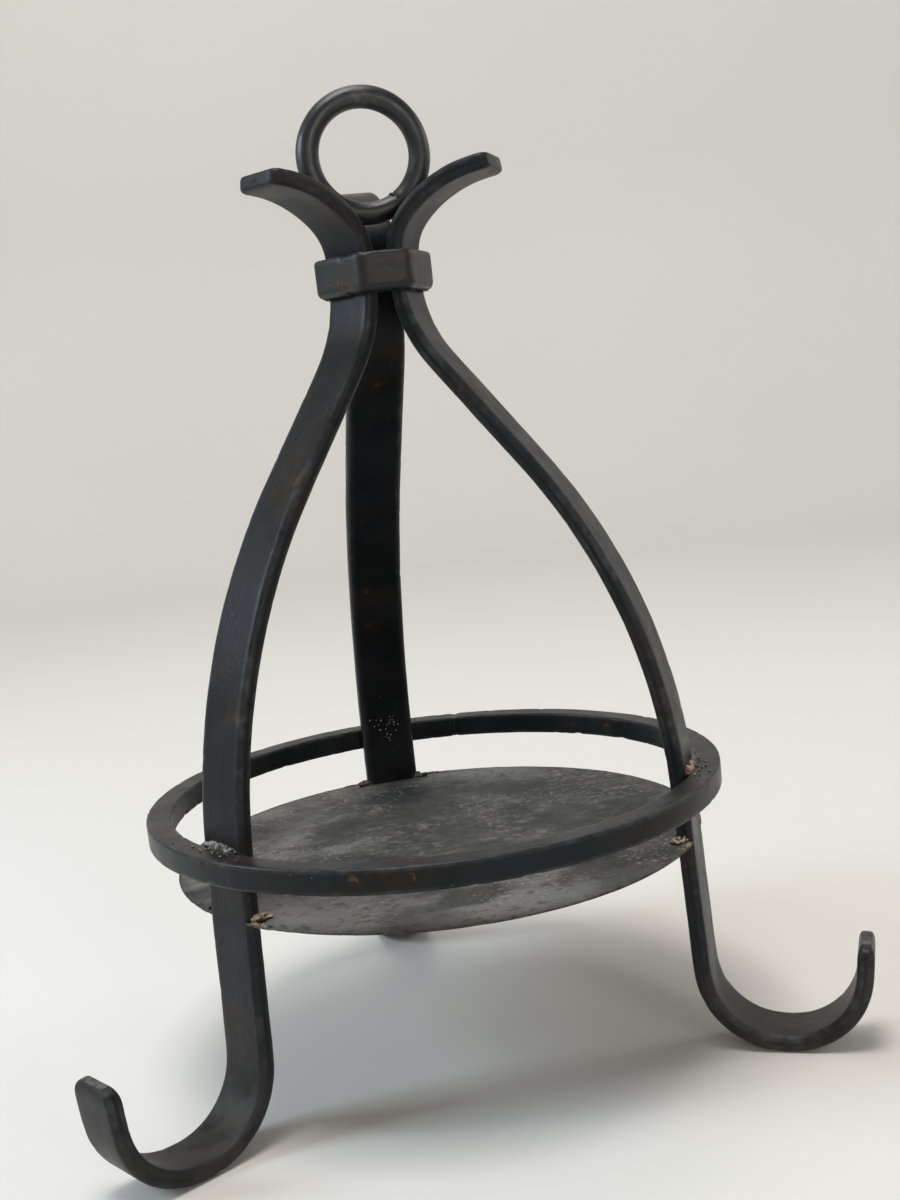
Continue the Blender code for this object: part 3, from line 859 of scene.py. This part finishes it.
def make_welds(iron):
    dark = weld_finish("weld_dark", 0.12, 0.35, 0.0)
    bright = weld_finish("weld_bright", 0.45, 0.10, 0.25)
    rusty = weld_finish("weld_rusty", 0.15, 0.9, 0.85)
    finishes = dict.fromkeys(frame["nodes"], dark)
    finishes["weld_hoop_top_left"] = bright
    for node in ("weld_hoop_top_right", "weld_plate_right_a", "weld_plate_right_b",
                 "weld_plate_left_a"):
        finishes[node] = rusty
    for place in LEGS:
        hoop_welds(place, finishes)
        plate_welds(place, finishes)
    ring = box_middle("top_ring")
    for place in ("left", "right"):
        node = "weld_ring_" + place
        towards = (ring - box_middle(node)).normalized()
        small_weld(node, "bead_ring_" + place, towards, iron)
    joint = box_middle("weld_ring_joint")
    out = (ring - joint).normalized()
    low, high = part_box("top_ring")
    bar = (high.y - low.y) / 2
    hub = ring - out * ((high.x - low.x) / 2 - bar)
    across = Vector((0.0, 1.0, 0.0))
    lumps = Lumps("ring_joint")
    lumps.bead([hub + (out * cos(radians(turn)) + across * sin(radians(turn))) * (bar - 0.0005)
                for turn in range(-48, 49, 8)], out, across.cross(out), 0.0008)
    lumps.finish("bead_ring_joint", iron, ["weld_ring_joint"])
    low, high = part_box("weld_hoop_joint")
    out = AXIS - (low + high) / 2
    out.z = 0.0
    out.normalize()
    middle = (low + high) / 2 - out * CONTACT
    way = UP * ((high.z - low.z) / 2)
    lumps = Lumps("hoop_joint")
    lumps.bead([middle - way, middle + way], out, UP.cross(out), 0.0008)
    lumps.finish("bead_hoop_joint", iron, ["weld_hoop_joint"])


def make_leg_spatter(finish):
    """Droplets that the hoop's weld threw on the rear leg's inner face."""
    outward = LEGS["rear"]
    lumps = Lumps("spatter")
    height = HOOP_HIGH.z + 0.004
    spot = AXIS + outward * reach_at(INNER["rear"], height) + UP * height
    lumps.spatter(spot, -outward, beside(outward) * 0.009, UP * 0.011, 46, (0.0001, 0.0005))
    lumps.finish("spatter_leg_rear", finish, [])


# ---- camera, floor and light --------------------------------------------------------------

CAMERA_TURN = radians(-11)    # about the legs' axis, from straight in front
CAMERA_DISTANCE = 0.6132
CAMERA_HEIGHT = 0.2737
CAMERA_PAN = radians(-1.44)
CAMERA_TILT = radians(-7.92)
CAMERA_ROLL = radians(-6.34)
CAMERA_LENS = 44.66


def make_camera():
    data = bpy.data.cameras.new("camera")
    data.lens = CAMERA_LENS
    data.clip_start = 0.01
    camera = bpy.data.objects.new("camera", data)
    bpy.context.scene.collection.objects.link(camera)
    place = Matrix.Rotation(CAMERA_TURN, 4, "Z") @ Vector((0.0, -CAMERA_DISTANCE, 0.0))
    camera.matrix_world = (Matrix.Translation(AXIS + place + UP * CAMERA_HEIGHT)
                           @ Matrix.Rotation(CAMERA_TURN + CAMERA_PAN, 4, "Z")
                           @ Matrix.Rotation(pi / 2 + CAMERA_TILT, 4, "X")
                           @ Matrix.Rotation(CAMERA_ROLL, 4, "Z"))
    bpy.context.scene.camera = camera


def make_floor():
    """A pale floor that turns up into a backdrop all round, out of every view's way."""
    flat, cove, wall = 1.7, 0.7, 2.8
    profile = [(flat * k / 8, 0.0) for k in range(1, 9)]
    profile += [(flat + cove * sin(pi / 2 * k / 12), cove * (1 - cos(pi / 2 * k / 12)))
                for k in range(1, 13)]
    profile.append((flat + cove, wall))
    segments = 96
    points = [(reach * cos(2 * pi * k / segments), reach * sin(2 * pi * k / segments), height)
              for reach, height in profile for k in range(segments)]
    points.append((0.0, 0.0, 0.0))
    faces = [(k, (k + 1) % segments, len(points) - 1) for k in range(segments)]
    faces += ring_faces(len(profile), segments)
    smooth_object("floor", points, faces, floor_finish())


def make_light(name, azimuth, height, distance, size, power, colour, aim=0.0):
    """A soft square light round the stand, aimed at its middle or that far behind it;
    azimuth is from +X."""
    data = bpy.data.lights.new(name, "AREA")
    data.size = size
    data.energy = power
    data.color = colour
    light = bpy.data.objects.new(name, data)
    turn = radians(azimuth)
    light.location = (distance * cos(turn), distance * sin(turn), height)
    middle = Vector((0.0, aim, (cad_low.z + cad_high.z) / 2))
    light.rotation_euler = (middle - light.location).to_track_quat("-Z", "Y").to_euler()
    light.visible_camera = False
    bpy.context.scene.collection.objects.link(light)


def make_lights():
    make_light("window", 178, 0.95, 1.40, 0.50, 15, (0.66, 0.84, 1.0))
    make_light("right", 5, 0.80, 1.50, 0.5, 4, (1.0, 0.98, 0.95))
    make_light("front", 284, 0.60, 1.80, 0.4, 5, (1.0, 0.96, 0.90))
    make_light("overhead", 240, 2.5, 0.50, 0.9, 41, (1.0, 0.98, 0.95))
    make_light("backdrop", 90, 2.4, 0.9, 1.2, 16, (1.0, 0.99, 0.97), aim=2.3)
    world = bpy.data.worlds.new("studio")
    world.use_nodes = True
    surround = world.node_tree.nodes["Background"]
    surround.inputs["Color"].default_value = (0.95, 0.97, 1.0, 1.0)
    surround.inputs["Strength"].default_value = 0.18
    bpy.context.scene.world = world
    bpy.context.scene.view_settings.view_transform = "Standard"


def build():
    iron = forged_finish("forged_iron", 0.07, 0.3)
    worn = forged_finish("hoop_iron", 0.12, 0.9, brown=0.35, shine=0.20)
    for place in LEGS:
        make_leg(place, iron)
    make_hoop(worn)
    make_band(forged_finish("band_iron", 0.2, 0.5, brown=1.0, shine=0.30))
    make_ring(forged_finish("ring_iron", 0.2, 0.2, brown=0.8, shine=0.50))
    make_plate(plate_finish())
    make_welds(iron)
    make_leg_spatter(weld_finish("spatter", 0.7, 0.1, 0.3))
    make_floor()
    make_lights()
    make_camera()


build()
